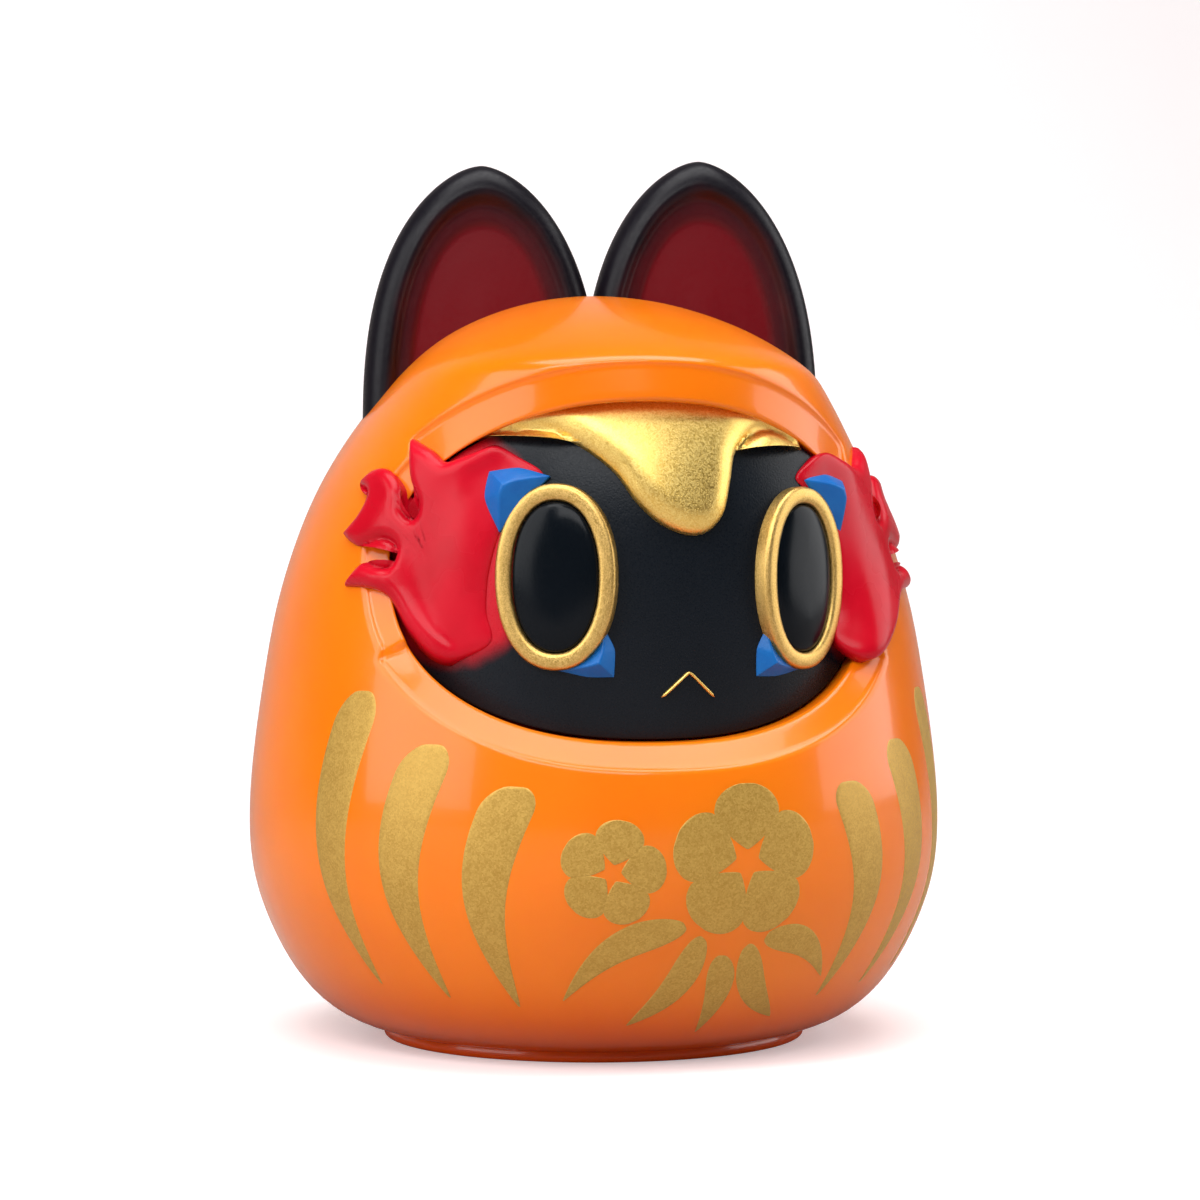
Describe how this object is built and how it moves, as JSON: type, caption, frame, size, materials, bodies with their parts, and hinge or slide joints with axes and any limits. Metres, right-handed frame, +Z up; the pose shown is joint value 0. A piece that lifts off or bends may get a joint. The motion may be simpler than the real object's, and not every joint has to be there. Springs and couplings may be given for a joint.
{
  "type": "daruma_doll",
  "caption": "Hooded daruma doll with upright ears, a recessed black face, gilt-rimmed oval eyes and gold brush strokes, standing on a flat foot",
  "frame": {"origin": "centre of the flat foot that the doll stands on, at the bottom of the object", "axes": "+Z up; the face looks towards -Y; +X is towards the viewer's right hand when facing the doll; symmetric about X=0"},
  "size_m": [0.0714, 0.0714, 0.0903],
  "materials": {
    "orange_vinyl": "glossy cast soft vinyl",
    "black_face": "sprayed black, satin",
    "black_gloss": "smooth black, low gloss",
    "ear_vinyl": "black vinyl, red airbrushed inner ear",
    "red_paint": "red sprayed lacquer",
    "gold_paint": "fine metallic gold paint",
    "blue_paint": "satin blue paint",
    "ballast_iron": "plain cast disc"
  },
  "bodies": {
    "root": {"body_shell": "orange_vinyl", "base_plug": "orange_vinyl", "face_plate": "black_face", "eye_dome_left": "black_gloss", "eye_dome_right": "black_gloss", "ear_left": "ear_vinyl", "ear_right": "ear_vinyl", "flame_left": "red_paint", "flame_right": "red_paint", "eye_ring_left": "gold_paint", "eye_ring_right": "gold_paint", "forehead_drip": "gold_paint", "mouth_inlay": "gold_paint", "eye_accent_upper_left": "blue_paint", "eye_accent_upper_right": "blue_paint", "eye_accent_lower_left": "blue_paint", "eye_accent_lower_right": "blue_paint", "ballast_weight": "ballast_iron"}
  },
  "joints": []
}
